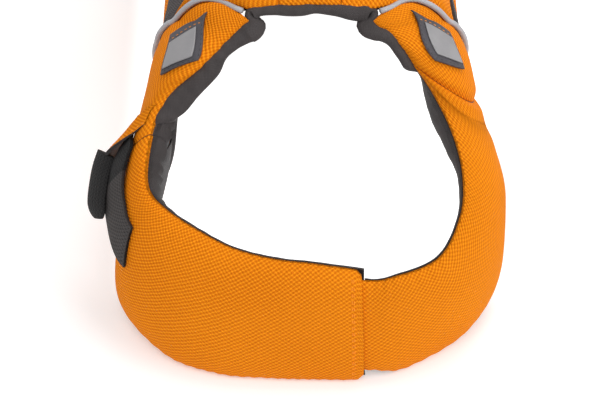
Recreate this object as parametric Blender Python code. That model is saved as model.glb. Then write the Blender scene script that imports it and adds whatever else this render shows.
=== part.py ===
"""Dog life jacket, size S, standing empty on its chest band and belly panel.

Tables are in millimetres. The jacket faces -Y, +Z is up, and z = 0 is the surface
it stands on. Left and right are as seen from its front, so left is -X. A padded collar runs
from each side of the withers round the chest, where its left half is a sleeve
that takes the end of its right half. Behind the piping the body is an arch of
quilted back and side pads over a flat belly panel, closed by two buckled straps.
"""

import math

import bmesh
import bpy
import numpy as np

MM = 0.001
GAP = 0.3            # between pieces that are sewn or laid together
ORIGIN_Y = 344.0     # middle of the belly panel, which the jacket stands on, from the chest

# Materials: name, colour, roughness
ORANGE = ("orange_cloth", (0.91, 0.29, 0.01), 0.8)
LINING = ("dark_lining", (0.045, 0.04, 0.04), 0.6)
WEBBING = ("grey_webbing", (0.07, 0.066, 0.068), 0.75)
STRETCH = ("grey_stretch", (0.06, 0.057, 0.058), 0.85)
REFLECTIVE = ("reflective_piping", (0.45, 0.45, 0.47), 0.4)
FRAME = ("label_frame", (0.085, 0.08, 0.085), 0.6)
PATCH = ("label_patch", (0.32, 0.315, 0.325), 0.5)
BUCKLE = ("buckle_plastic", (0.03, 0.03, 0.032), 0.45)

# Collar. Each row is a section of the pad's middle layer, from the seam at the
# neck, over the crest, to the hem. The clock is 0 at the chest and grows
# towards +X and up. The columns: clock, seam x y z, crest x y z, hem x y z, half of
# the pad's thickness.
COLLAR = np.array((
    (-154, -31, 117, 164, -32, 119, 165, -33, 121, 166, 2.0),
    (-151, -35, 115, 162, -46, 126, 161, -55, 134, 157, 4.0),
    (-145, -43, 110, 156, -60, 126, 149, -73, 138, 137, 5.5),
    (-134, -56, 101, 147, -73, 112, 139, -81, 140, 119, 6.0),
    (-118, -71, 92, 137, -84, 100, 117, -81, 139, 94, 6.5),
    (-104, -82, 81, 126, -90, 90, 98, -81, 130, 73, 6.5),
    (-90, -87, 67, 112, -95, 78, 82, -83, 108, 51, 6.5),
    (-75, -87, 55, 99, -99, 62, 64, -94, 78, 26, 7.0),
    (-60, -77, 47, 91, -96, 38, 50, -103, 46, 9, 7.5),
    (-45, -61, 39, 84, -76, 23, 43, -80, 15, 2, 7.5),
    (-30, -42, 32, 77, -50, 14, 39, -51, 3, 0.5, 7.5),
    (-15, -20, 27, 74, -24, 11, 38, -24, 0, 0.5, 7.5),
    (0, 3, 25, 72, 3, 10, 37, 3, -1, 0.5, 7.5),
    (12, 27, 23, 69, 28, 10, 36, 29, -1, 0.5, 7.5),
    (30, 46, 21, 67, 52, 13, 35, 54, 7, 1, 6.5),
    (45, 69, 29, 73, 81, 26, 38, 85, 29, 4, 6.5),
    (60, 80, 45, 89, 97, 46, 51, 101, 61, 16, 6.5),
    (75, 81, 60, 104, 101, 73, 70, 89, 98, 40, 6.5),
    (90, 76, 74, 119, 95, 90, 88, 80, 120, 60, 6.5),
    (108, 65, 90, 135, 89, 92, 104, 77, 135, 78, 6.5),
    (126, 53, 102, 147, 83, 96, 121, 79, 139, 97, 6.0),
    (136, 47, 109, 153, 73, 110, 139, 81, 140, 119, 6.0),
    (145, 40, 113, 159, 60, 126, 149, 73, 138, 137, 5.5),
    (151, 34, 115, 162, 45, 126, 161, 55, 134, 157, 4.0),
    (154, 31, 117, 164, 32, 119, 165, 33, 121, 166, 2.0)), float)

# Body. Each row is a section of the arch. The columns: how far back it is, half its
# width, height of its widest point, its top, half width and height of its lower edges.
BODY = np.array((
    (178, 80, 98, 190, 78, 48),
    (230, 79, 96, 199, 76, 44),
    (300, 82, 94, 202, 78, 42),
    (365, 83, 94, 198, 79, 46),
    (415, 78, 98, 190, 76, 58)), float)
NECK_TOP = (0.0, 124.0, 169.5)    # middle of the neck edge, on the withers
LOW_CORNER_CLOCK = 84             # collar section where the arch's lower edge starts


def through(knots, values, at):
    """Smooth curve through the rows of values, read at the given knots."""
    at = np.atleast_1d(np.asarray(at, float))
    slopes = np.gradient(values, knots, axis=0)
    i = np.clip(np.searchsorted(knots, at, side="right") - 1, 0, len(knots) - 2)
    width = (knots[i + 1] - knots[i])[:, None]
    u = ((at - knots[i]) / (knots[i + 1] - knots[i]))[:, None]
    start = (1 + 2 * u) * (1 - u) ** 2 * values[i] + u * (1 - u) ** 2 * width * slopes[i]
    end = u ** 2 * (3 - 2 * u) * values[i + 1] + u ** 2 * (u - 1) * width * slopes[i + 1]
    return start + end


def collar_mid(clock, across):
    """Middle layer of the collar: across is 0 at the neck seam and 1 at the hem."""
    row = through(COLLAR[:, 0], COLLAR[:, 1:], clock)
    seam, crest, hem = row[:, 0:3], row[:, 3:6], row[:, 6:9]
    s = np.broadcast_to(np.asarray(across, float), (len(row),))[:, None]
    return seam * (1 - s) * (1 - 2 * s) + crest * 4 * s * (1 - s) + hem * s * (2 * s - 1)


def collar_half(clock):
    return through(COLLAR[:, 0], COLLAR[:, 10:11], clock)[:, 0]


def even_steps(points, count):
    """The polyline's points at count equal steps of its length."""
    length = np.concatenate(([0.0], np.cumsum(np.linalg.norm(np.diff(points, axis=0), axis=1))))
    steps = np.linspace(0, length[-1], count)
    return np.stack([np.interp(steps, length, points[:, k]) for k in range(3)], axis=1)


def front_half(side):
    """The arch's front edge from the withers, along the piping, to its lower corner."""
    clocks = side * np.linspace(154, LOW_CORNER_CLOCK, 60)
    piping = collar_mid(clocks, 1.0)
    start = np.array([NECK_TOP, (side * 16.0, 123.0, 168.5)])
    return np.vstack((start, piping))


def section_half(row, side):
    """One arch section from its top to its lower edge on one side."""
    y, half_width, wide_z, top_z, low_half_width, low_z = row
    turn = np.linspace(0, math.pi / 2, 30)
    upper = np.stack((side * half_width * np.sin(turn), np.full(30, y),
                      wide_z + (top_z - wide_z) * np.cos(turn)), axis=1)
    drop = np.linspace(0, 1, 12)[1:]
    lower = np.stack((side * (half_width + (low_half_width - half_width) * drop ** 2), np.full(11, y),
                      wide_z + (low_z - wide_z) * drop), axis=1)
    return np.vstack((upper, lower))


def body_sections(count=81):
    """Arch sections from the front edge to the rear, each with count even points."""
    halves = count // 2 + 1
    rows = []
    for row in [None] + list(BODY):
        sides = []
        for side in (-1, 1):
            line = front_half(side) if row is None else section_half(row, side)
            sides.append(even_steps(line, halves))
        rows.append(np.vstack((sides[0][::-1], sides[1][1:])))
    return np.array(rows)


SECTIONS = body_sections()
STATIONS = np.concatenate(([130.0], BODY[:, 0]))


def body_mid(station, across):
    """Middle layer of the arch: across is -1 and 1 at its lower edges, 0 on top."""
    station = np.atleast_1d(np.asarray(station, float))
    across = np.broadcast_to(np.asarray(across, float), station.shape)
    count = SECTIONS.shape[1]
    rows = through(STATIONS, SECTIONS.reshape(len(STATIONS), -1), station).reshape(-1, count, 3)
    place = (across + 1) / 2 * (count - 1)
    i = np.clip(place.astype(int), 0, count - 2)
    part = (place - i)[:, None]
    pick = np.arange(len(station))
    return rows[pick, i] * (1 - part) + rows[pick, i + 1] * part


COLLAR_SURFACE = {"mid": collar_mid, "step": (0.5, 0.004)}
BODY_SURFACE = {"mid": body_mid, "step": (1.0, 0.02)}


def place(surface, station, across, lift):
    """A point of a surface, moved out along its normal by lift."""
    mid = surface["mid"]
    ds, da = surface["step"]
    station = np.atleast_1d(np.asarray(station, float))
    across = np.broadcast_to(np.asarray(across, float), station.shape)
    along = mid(station + ds, across) - mid(station - ds, across)
    over = mid(station, across + da) - mid(station, across - da)
    normal = np.cross(over, along)
    normal /= np.maximum(np.linalg.norm(normal, axis=1, keepdims=True), 1e-9)
    return mid(station, across) + normal * np.broadcast_to(lift, station.shape)[:, None]


def material(look):
    name, colour, roughness = look
    found = bpy.data.materials.get(name)
    if found:
        return found
    made = bpy.data.materials.new(name)
    made.use_nodes = True
    shader = made.node_tree.nodes["Principled BSDF"]
    shader.inputs["Base Color"].default_value = (*colour, 1.0)
    shader.inputs["Roughness"].default_value = roughness
    made.diffuse_color = (*colour, 1.0)
    return made


def add_object(name, points, faces, look):
    """A named object from points in millimetres, with its faces turned outwards."""
    mesh = bpy.data.meshes.new(name)
    world = (np.asarray(points, float) - (0.0, ORIGIN_Y, 0.0)) * MM
    mesh.from_pydata([tuple(p) for p in world], [], faces)
    build = bmesh.new()
    build.from_mesh(mesh)
    bmesh.ops.triangulate(build, faces=build.faces[:])
    bmesh.ops.recalc_face_normals(build, faces=build.faces[:])
    if build.calc_volume(signed=True) < 0:
        bmesh.ops.reverse_faces(build, faces=build.faces[:])
    build.to_mesh(mesh)
    build.free()
    mesh.materials.append(material(look))
    mesh.shade_smooth()
    mesh.set_sharp_from_angle(angle=math.radians(50))
    item = bpy.data.objects.new(name, mesh)
    bpy.context.collection.objects.link(item)
    return item


def skin(name, loops, look):
    """A closed body through loops of equal length, each capped straight across."""
    loops = [np.asarray(loop) for loop in loops]
    count = len(loops[0])
    faces = []
    for k in range(len(loops) - 1):
        for i in range(count):
            j = (i + 1) % count
            faces.append((k * count + i, k * count + j, (k + 1) * count + j, (k + 1) * count + i))
    for start in (0, (len(loops) - 1) * count):
        for i in range((count - 1) // 2):
            corners = (i, i + 1, count - 2 - i, count - 1 - i)
            if count % 2 == 0 and corners[1] == corners[2]:
                continue
            faces.append(tuple(start + c for c in dict.fromkeys(corners)))
    return add_object(name, np.vstack(loops), faces, look)


def pad_profile(sections):
    """Places across a pad, closer at its edges, and how full the pad is at each."""
    part = (1 - np.cos(np.linspace(0, math.pi, sections + 1))) / 2
    return part, np.sqrt(np.clip(1 - np.abs(2 * part - 1) ** 4, 0.012, 1))


def pad_loop(surface, station, low, high, half, sections):
    """Closed outline of a pad's section: full in the middle, thin at both edges."""
    part, full = pad_profile(sections)
    across = low + (high - low) * part
    stations = np.full(len(part), station)
    outer = place(surface, stations, across, half * full)
    inner = place(surface, stations, across, -half * full)
    return np.vstack((outer, inner[::-1]))


def wall_loop(surface, station, low, high, lift_low, lift_high, sections):
    """Closed outline of a thin wall's section between two lifts."""
    across = np.linspace(low, high, sections + 1)
    stations = np.full(len(across), station)
    lift_low = np.broadcast_to(lift_low, across.shape)
    lift_high = np.broadcast_to(lift_high, across.shape)
    outer = place(surface, stations, across, lift_high)
    inner = place(surface, stations, across, lift_low)
    return np.vstack((outer, inner[::-1]))


def value(thing, at):
    return thing(at) if callable(thing) else thing


def pad(name, surface, stations, low, high, half, look, sections=8, ends=(0.4, 0.4)):
    """Padded panel between two edges of a surface, thinner at its sewn ends."""
    loops = []
    last = len(stations) - 1
    for k, station in enumerate(stations):
        full = 1.0
        for end, near in ((ends[0], k), (ends[1], last - k)):
            if near == 0:
                full = min(full, end)
            elif near == 1:
                full = min(full, (1 + end) / 2 + 0.1)
        thick = float(value(half, station)) * min(full, 1.0)
        loops.append(pad_loop(surface, station, value(low, station), value(high, station), thick, sections))
    return skin(name, loops, look)


def wall(name, surface, stations, low, high, lift, thick, look, sections=8):
    """Thin wall on a surface: lift is where its lower side lies."""
    loops = []
    for station in stations:
        base = value(lift, station)
        loops.append(wall_loop(surface, station, value(low, station), value(high, station),
                               base, base + thick, sections))
    return skin(name, loops, look)


# ---------------------------------------------------------------- collar

MOUTH = 12.0            # collar clock of the sleeve's mouth
SLEEVE_END = -98.0      # where the sleeve is sewn to the left shoulder
TUBE_END = -22.0        # how far the tube reaches inside the sleeve
CREASE = 126.0          # where the tube is sewn to the right shoulder
APEX = 153.0            # where the shoulder panels end in a point at the neck
TUBE_INSET = 0.085      # share of the sleeve's width by which the tube is narrower at each edge
TUBE_HALF = 5.6
SLEEVE_WALL = 1.4
LINING_THICK = 1.2
LINING_GAP = 0.5
LINING_PROUD = 0.015    # share of the width by which the lining stands above the neck seam
LINING_SHORT = 0.04     # and by which it stops short of the hem
SEAM_CLOCK = 0.12       # half of a seam's gap, in degrees of clock
COLLAR_SECTIONS = 8
HEM_SHARE = 0.974       # where the shoulder pads' hem meets the piping
SLEEVE_CLOCKS = np.linspace(SLEEVE_END + SEAM_CLOCK, MOUTH, 18)
POCKET_ROWS = 10        # sleeve rows from its shoulder end to the pocket's bottom
POCKET_INSET = 0.03
TUBE_CLOCKS = np.concatenate((np.linspace(TUBE_END, MOUTH, 6), np.linspace(MOUTH + 5, CREASE - SEAM_CLOCK, 17)))
LEFT_CLOCKS = np.linspace(-APEX, SLEEVE_END - SEAM_CLOCK, 13)
RIGHT_CLOCKS = np.linspace(CREASE + SEAM_CLOCK, APEX, 9)


def tube_inset(clock):
    """The tube is narrow in the sleeve and widens to the full band outside it."""
    u = min(max((clock - MOUTH) / 20.0, 0.0), 1.0)
    return TUBE_INSET * (1 - u * u * (3 - 2 * u))


def tube_half(clock):
    u = min(max((clock - MOUTH) / 25.0, 0.0), 1.0)
    return TUBE_HALF + (float(collar_half(clock)[0]) - TUBE_HALF) * u * u * (3 - 2 * u)


def sleeve_half(clock):
    return float(collar_half(clock)[0])


def make_sleeve():
    """Left half of the chest band, hollow at its mouth where the tube goes in."""
    loops = []
    for clock in SLEEVE_CLOCKS:
        taper = 0.5 if clock == SLEEVE_CLOCKS[0] else 1.0
        loops.append(pad_loop(COLLAR_SURFACE, clock, 0, 1, sleeve_half(clock) * taper, COLLAR_SECTIONS))
    for clock in SLEEVE_CLOCKS[:POCKET_ROWS:-1]:
        half = sleeve_half(clock) - SLEEVE_WALL
        loops.append(pad_loop(COLLAR_SURFACE, clock, POCKET_INSET, 1 - POCKET_INSET, half, COLLAR_SECTIONS))
    return skin("chest_sleeve", loops, ORANGE)


def make_tube():
    """Right half of the chest band, from inside the sleeve to the right shoulder."""
    return pad("neck_tube", COLLAR_SURFACE, TUBE_CLOCKS, tube_inset, lambda c: 1 - tube_inset(c), tube_half,
               ORANGE, sections=COLLAR_SECTIONS, ends=(0.5, 0.5))


def make_shoulders():
    for name, clocks in (("shoulder_left", LEFT_CLOCKS), ("shoulder_right", RIGHT_CLOCKS)):
        pad(name, COLLAR_SURFACE, clocks, 0.0, HEM_SHARE, sleeve_half, ORANGE, sections=COLLAR_SECTIONS,
            ends=(0.6, 0.6))


def lining_strip(name, clocks, low, high, half, start):
    """Lining on the collar's inner side; start moves its edge from the neck seam."""
    loops = []
    for clock in clocks:
        part, full = pad_profile(COLLAR_SECTIONS)
        across = value(low, clock) + (value(high, clock) - value(low, clock)) * part
        across[0] += start
        across[-1] -= LINING_SHORT
        inside = -(value(half, clock) * full + LINING_GAP)
        stations = np.full(len(across), clock)
        outer = place(COLLAR_SURFACE, stations, across, inside)
        inner = place(COLLAR_SURFACE, stations, across, inside - LINING_THICK)
        loops.append(np.vstack((outer, inner[::-1])))
    return skin(name, loops, LINING)


def make_collar_linings():
    lining_strip("lining_sleeve", SLEEVE_CLOCKS, 0.0, 1.0, sleeve_half, -LINING_PROUD)
    lining_strip("lining_tube", TUBE_CLOCKS[6:-1], tube_inset, lambda c: 1 - tube_inset(c), tube_half,
                 -LINING_PROUD)
    lining_strip("lining_shoulder_left", LEFT_CLOCKS, 0.0, HEM_SHARE, sleeve_half, LINING_PROUD)
    lining_strip("lining_shoulder_right", RIGHT_CLOCKS[1:], 0.0, HEM_SHARE, sleeve_half, LINING_PROUD)


# ---------------------------------------------------------------- body

BACK_HALF = 5.0
SIDE_HALF = 4.5
CENTRE_EDGE = 0.085     # edge of the handle strip, as a share of the arch
BACK_EDGE = 0.56        # edge of the quilted back
SIDE_EDGE = 0.62        # top of the side panel
SEAM = 0.0011           # half of a seam's gap, as a share of the arch
FRONT = 131.2           # front edge, just behind the piping
REAR = 415.0
BODY_ENDS = (0.2, 0.4)  # how full the pads are at their front and rear edges


def make_body():
    back = np.concatenate(((FRONT, FRONT + 3, FRONT + 10), np.linspace(FRONT + 35, REAR - 6, 7), (REAR,)))
    pad("back_centre", BODY_SURFACE, back, -CENTRE_EDGE + SEAM, CENTRE_EDGE - SEAM, BACK_HALF, ORANGE,
        sections=6, ends=BODY_ENDS)
    for side, word in ((-1, "left"), (1, "right")):
        for name, inner, outer, half, look in (
                ("back_" + word, CENTRE_EDGE, BACK_EDGE, BACK_HALF, ORANGE),
                ("side_" + word, SIDE_EDGE, 1.0, SIDE_HALF, ORANGE)):
            low, high = sorted((side * (inner + SEAM), side * (outer - SEAM)))
            pad(name, BODY_SURFACE, back, low, high, half, look, ends=BODY_ENDS)
        low, high = sorted((side * (BACK_EDGE + SEAM), side * (SIDE_EDGE - SEAM)))
        wall("gusset_" + word, BODY_SURFACE, back, low, high, -1.0, 2.0, STRETCH, sections=3)


def direction(vector):
    return vector / np.maximum(np.linalg.norm(vector, axis=-1, keepdims=True), 1e-9)


def sweep(name, path, out, section, look):
    """A body whose section, in steps sideways and outwards, follows a path."""
    path = np.asarray(path, float)
    along = direction(np.gradient(path, axis=0))
    side = direction(np.cross(along, np.broadcast_to(out, path.shape)))
    up = np.cross(side, along)
    loops = [[p + x * s + z * u for x, z in section] for p, s, u in zip(path, side, up)]
    return skin(name, loops, look)


def flat_section(width, thick):
    return [(-width / 2, -thick / 2), (width / 2, -thick / 2), (width / 2, thick / 2), (-width / 2, thick / 2)]


def round_section(radius, sides):
    return [(radius * math.cos(t), radius * math.sin(t)) for t in np.arange(sides) * 2 * math.pi / sides]


def pad_face(clock, across):
    """How far the collar pad's outer face stands over its middle layer."""
    across = np.asarray(across, float)
    return collar_half(clock) * np.sqrt(np.clip(1 - np.abs(2 * across - 1) ** 4, 0.012, 1))


def sheet_on(name, surface, rows, thick, look):
    """Thin piece through rows of (stations, across, lifts), each lift at its lower side."""
    loops = []
    for stations, across, lifts in rows:
        upper = place(surface, stations, across, np.asarray(lifts) + thick)
        lower = place(surface, stations, across, lifts)
        loops.append(np.vstack((upper, lower[::-1])))
    return skin(name, loops, look)


# ---------------------------------------------------------------- trims of the collar

PIPING_RADIUS = 1.5
PIPING_LIFT = 4.8
PIPING_ENDS = {-1: 108.0, 1: 127.5}
EDGE_RADIUS = 3.0       # rolled edge of lining round the top of the neck
EDGE_GAP = 1.0          # between the roll and the pads' front edges
EDGE_INWARD = 2.8       # how far the roll lies inside the shoulder pads' edge
NECK_MIDDLE = np.array((0.0, 80.0, 125.0))


def make_piping():
    for side, word in ((-1, "left"), (1, "right")):
        clocks = side * np.linspace(150.5, PIPING_ENDS[side], 14)
        path = place(COLLAR_SURFACE, clocks, 0.995, PIPING_LIFT)
        out = direction(place(COLLAR_SURFACE, clocks, 0.98, 1.0) - place(COLLAR_SURFACE, clocks, 0.98, 0.0))
        sweep("piping_" + word, path, out, round_section(PIPING_RADIUS, 6), REFLECTIVE)


def make_neck_edge():
    """Lining rolled round the neck edge, from shoulder to shoulder over the withers."""
    path = []
    top = np.array((-0.1, 0.0, 0.1))
    for clocks in (np.linspace(-121, -149, 8), None, np.linspace(149, 129, 6)):
        if clocks is None:
            edge = body_mid(np.full(3, FRONT), top)
            back = body_mid(np.full(3, FRONT + 6), top)
            inward = 0.0
        else:
            edge = collar_mid(clocks, 0.0)
            back = collar_mid(clocks, 0.06)
            inward = EDGE_INWARD
        forward = direction(edge - back)
        path.append(edge + forward * (EDGE_RADIUS + EDGE_GAP) + direction(NECK_MIDDLE - edge) * inward)
    path = np.vstack(path)
    sweep("neck_edge", path, (0.0, -0.75, 0.65), round_section(EDGE_RADIUS, 8), LINING)


# Labels on the shoulders: clock and share across at their corners, in the order
# upper outer, upper inner, lower inner, lower outer.
LABELS = {"left": ((-139.2, 0.57), (-149.1, 0.48), (-134.6, 0.065), (-127.4, 0.31)),
          "right": ((141.3, 0.58), (149.7, 0.50), (133.8, 0.205), (133.3, 0.475))}
LABEL_SIDE_BOW = {"left": 0.09, "right": 0.135}     # how far the inner side bows to the neck
LABEL_TOP_BOW = 0.05
LABEL_LIFT = 0.9
LABEL_THICK = 1.2
PATCH_INSET = 0.2
PATCH_THICK = 0.6
FLAP_CLOCKS = np.linspace(-111.0, -93.5, 8)
FLAP_SPREAD = 11.0      # how far the flap's lower edge stands off the band
FLAP_THICK = 2.0
STRAP_WIDTH = 20.0
WEB_THICK = 1.6
# The strap under the flap, from its sewn end up. The columns: clock, share across and
# stand of its inner edge, then of its outer edge, which stands off the band.
NECK_STRAP = np.array((
    (-66.0, 0.20, 0.6, -60.5, 0.44, 0.6),
    (-70.0, 0.20, 0.8, -64.0, 0.46, 1.6),
    (-75.0, 0.18, 1.0, -69.0, 0.46, 3.6),
    (-81.0, 0.17, 1.4, -75.0, 0.44, 5.6),
    (-87.0, 0.16, 1.8, -82.0, 0.42, 6.8),
    (-92.0, 0.16, 1.8, -89.5, 0.40, 7.0),
    (-96.5, 0.16, 1.6, -96.5, 0.38, 5.0)))
# The strap's folded end hangs outside it
TAIL_PATH = ((-115.6, 80.5, 88), (-117.5, 74.5, 83), (-119, 68.5, 77), (-119.5, 63.5, 72), (-119, 59.5, 67))
TAIL_WIDTH = 13.0
TAIL_THICK = 3.0


def label_rows(word, low, high, lift, count=5):
    """Rows over a four-cornered label or patch of the collar, between two shares of its sides."""
    upper_out, upper_in, lower_in, lower_out = np.array(LABELS[word], float)
    w = np.linspace(low, high, count)
    rows = []
    for v in w:
        start, end = upper_out + (lower_out - upper_out) * v, upper_in + (lower_in - upper_in) * v
        places = start + (end - start) * w[:, None]
        bow = LABEL_SIDE_BOW[word] * 4 * v * (1 - v) * w + LABEL_TOP_BOW * 4 * w * (1 - w) * (1 - v)
        across = places[:, 1] - bow
        rows.append((places[:, 0], across, pad_face(places[:, 0], across) + lift))
    return rows


def make_labels():
    for word in LABELS:
        sheet_on("label_" + word, COLLAR_SURFACE, label_rows(word, 0.0, 1.0, LABEL_LIFT), LABEL_THICK, FRAME)
        lift = LABEL_LIFT + LABEL_THICK + 2 * GAP
        rows = label_rows(word, PATCH_INSET, 1 - PATCH_INSET, lift)
        sheet_on("patch_" + word, COLLAR_SURFACE, rows, PATCH_THICK, PATCH)


def make_neck_strap():
    """Flap of the left shoulder with the strap and its folded end that come out below it."""
    rows = []
    for clock in FLAP_CLOCKS:
        part = (clock - FLAP_CLOCKS[0]) / (FLAP_CLOCKS[-1] - FLAP_CLOCKS[0])
        across = np.linspace(0.03, 0.66, 9)
        stand = FLAP_SPREAD * part ** 1.4 * np.sin(np.linspace(0.12, 2.6, 9)) ** 0.8
        clocks = np.full(9, clock)
        rows.append((clocks, across, pad_face(clocks, across) + 0.7 + stand))
    sheet_on("neck_flap", COLLAR_SURFACE, rows, FLAP_THICK, ORANGE)
    rows = []
    for row in NECK_STRAP:
        clocks, across, stand = (np.linspace(row[k], row[k + 3], 5) for k in range(3))
        rows.append((clocks, across, pad_face(clocks, across) + stand))
    sheet_on("neck_strap", COLLAR_SURFACE, rows, WEB_THICK, WEBBING)
    sweep("strap_tail", TAIL_PATH, (-0.75, -0.45, 0.45), flat_section(TAIL_WIDTH, TAIL_THICK), WEBBING)


# ---------------------------------------------------------------- belly and handle

BELLY_FRONT = 284.0
BELLY_REAR = 404.0
BELLY_HALF_WIDTH = 52.0
BELLY_THICK = 9.0
BELLY_STRAPS = {"front": 308.0, "rear": 372.0}
BUCKLE_WIDE = 26.0


def make_belly():
    half, thick = BELLY_HALF_WIDTH, BELLY_THICK
    loops = []
    for y, inset, height in ((BELLY_FRONT, 5.0, 0.45), (BELLY_FRONT + 4, 1.0, 0.85), (BELLY_FRONT + 12, 0.0, 1.0),
                             (BELLY_REAR - 12, 0.0, 1.0), (BELLY_REAR - 4, 1.0, 0.85), (BELLY_REAR, 5.0, 0.45)):
        edge, top = half - inset, thick * height
        corners = ((-edge + 3, 0), (edge - 3, 0), (edge, top * 0.3), (edge, top * 0.7),
                   (edge - 8, top), (-edge + 8, top), (-edge, top * 0.7), (-edge, top * 0.3))
        loops.append([(x, y, z) for x, z in corners])
    skin("belly_panel", loops, ORANGE)


def side_run(y, side):
    """Strap's path down a side panel's outer face and round to the belly panel's edge."""
    across = side * np.linspace(0.80, 1.0, 5)
    stand = np.array((SIDE_HALF, SIDE_HALF, SIDE_HALF, SIDE_HALF, SIDE_HALF - 0.6)) + 1.5
    upper = place(BODY_SURFACE, np.full(5, y), across, stand)
    return upper, (side * (BELLY_HALF_WIDTH + GAP), y, 4.6)


def box_along(name, start, end, width, thick, look):
    """Buckle half: a block with chamfered ends between two points."""
    start, end = np.array(start, float), np.array(end, float)
    path = [start + (end - start) * t for t in (0.0, 0.15, 0.85, 1.0)]
    along = direction(end - start)
    side = np.array((0.0, 1.0, 0.0))
    up = np.cross(side, along)
    loops = []
    for p, full in zip(path, (0.7, 1.0, 1.0, 0.7)):
        w, t = width / 2 * (0.85 + 0.15 * full), thick / 2 * full
        loops.append([p + side * x + up * z for x, z in ((-w, -t), (w, -t), (w, t), (-w, t))])
    skin(name, loops, look)


def make_belly_straps():
    section = flat_section(STRAP_WIDTH, WEB_THICK)
    for word, y in BELLY_STRAPS.items():
        upper, edge = side_run(y, -1)
        path = np.vstack((upper, [(-79, y, 29), (-70, y, 15), (-60, y, 7), edge]))
        sweep("belly_strap_left_" + word, path, (-0.9, 0.0, -0.3), section, WEBBING)
        upper, edge = side_run(y, 1)
        top = upper[-1] + (0.0, 0.0, -5.0)
        foot = np.array((63.0, y, 9.0))
        line = direction(foot - top)
        middle = top + line * (np.linalg.norm(foot - top) / 2)
        path = np.vstack((upper, [top - line * 3, top - line * GAP]))
        sweep("belly_strap_upper_" + word, path, (0.9, 0.0, -0.3), section, WEBBING)
        box_along("buckle_plug_" + word, top, middle - line * GAP / 2, BUCKLE_WIDE - 3, 6.5, BUCKLE)
        box_along("buckle_socket_" + word, middle + line * GAP / 2, foot, BUCKLE_WIDE, 8.5, BUCKLE)
        path = [foot + line * GAP, foot + line * 2, (58, y, 6.0), edge]
        sweep("belly_strap_lower_" + word, path, (0.5, 0.0, -0.9), section, WEBBING)


HANDLE_WIDTH = 24.0
HANDLE_FRONT = 205.0
HANDLE_REAR = 315.0
HANDLE_RISE = 30.0
HANDLE_SEWN = 0.16      # share of the handle's length that is sewn flat at each end
WEB_BESIDE_GRIP = 0.004 # share of the length left free beside the grip
GRIP = (0.34, 0.66)     # the grip's ends, as shares of the handle's length


def handle_point(share):
    """Middle of the handle webbing: sewn flat at both ends, arched between."""
    y = HANDLE_FRONT + (HANDLE_REAR - HANDLE_FRONT) * share
    rise = np.clip((np.minimum(share, 1 - share) - HANDLE_SEWN) / (0.5 - HANDLE_SEWN), 0, 1)
    base = place(BODY_SURFACE, y, np.zeros_like(share), BACK_HALF + 1.6)
    base[:, 2] += HANDLE_RISE * np.sin(rise * math.pi / 2) ** 1.3
    return base


def make_handle():
    section = flat_section(HANDLE_WIDTH, 1.8)
    for name, low, high in (("handle_front", 0.0, GRIP[0] - WEB_BESIDE_GRIP),
                            ("handle_rear", GRIP[1] + WEB_BESIDE_GRIP, 1.0)):
        path = handle_point(np.linspace(low, high, 12))
        sweep(name, path, (0.0, 0.0, 1.0), section, WEBBING)
    path = handle_point(np.linspace(GRIP[0], GRIP[1], 9))
    oval = [(11.5 * math.cos(t), 4.5 * math.sin(t)) for t in np.arange(10) * math.pi / 5]
    sweep("handle_grip", path, (0.0, 0.0, 1.0), oval, WEBBING)


def main():
    for item in list(bpy.data.objects):
        bpy.data.objects.remove(item, do_unlink=True)
    make_sleeve()
    make_tube()
    make_shoulders()
    make_collar_linings()
    make_piping()
    make_neck_edge()
    make_labels()
    make_neck_strap()
    make_body()
    make_belly()
    make_belly_straps()
    make_handle()


main()
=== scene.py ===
"""Looks of the dog life jacket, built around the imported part.

Tables are in millimetres, measured from the chest; the part's own frame has its
origin under the belly panel. Left and right are as seen from the front.
"""

import math

import bpy
import numpy as np
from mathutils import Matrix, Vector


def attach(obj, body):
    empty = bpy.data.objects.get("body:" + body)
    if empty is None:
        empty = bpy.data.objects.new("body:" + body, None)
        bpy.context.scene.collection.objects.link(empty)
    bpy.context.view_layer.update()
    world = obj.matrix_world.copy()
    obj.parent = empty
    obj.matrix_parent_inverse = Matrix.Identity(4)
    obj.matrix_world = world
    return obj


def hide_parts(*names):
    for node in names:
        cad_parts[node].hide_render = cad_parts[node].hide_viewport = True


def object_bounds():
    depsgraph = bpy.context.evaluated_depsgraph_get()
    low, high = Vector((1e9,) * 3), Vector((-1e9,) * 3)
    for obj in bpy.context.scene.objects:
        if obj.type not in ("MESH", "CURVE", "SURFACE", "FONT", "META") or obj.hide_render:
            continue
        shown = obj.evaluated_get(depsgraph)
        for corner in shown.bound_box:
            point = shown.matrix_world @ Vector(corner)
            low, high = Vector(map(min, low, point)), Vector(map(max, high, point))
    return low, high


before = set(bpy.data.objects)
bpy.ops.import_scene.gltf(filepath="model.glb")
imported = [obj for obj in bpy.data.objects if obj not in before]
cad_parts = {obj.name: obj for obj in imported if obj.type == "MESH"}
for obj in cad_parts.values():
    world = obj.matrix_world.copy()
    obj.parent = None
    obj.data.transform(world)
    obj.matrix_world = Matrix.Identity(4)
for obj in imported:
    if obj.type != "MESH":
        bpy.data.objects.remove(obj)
CAD_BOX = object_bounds()

MM = 0.001
ORIGIN_Y = 344.0      # middle of the belly panel, from the chest

# ---------------------------------------------------------------- the jacket's two surfaces

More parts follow.
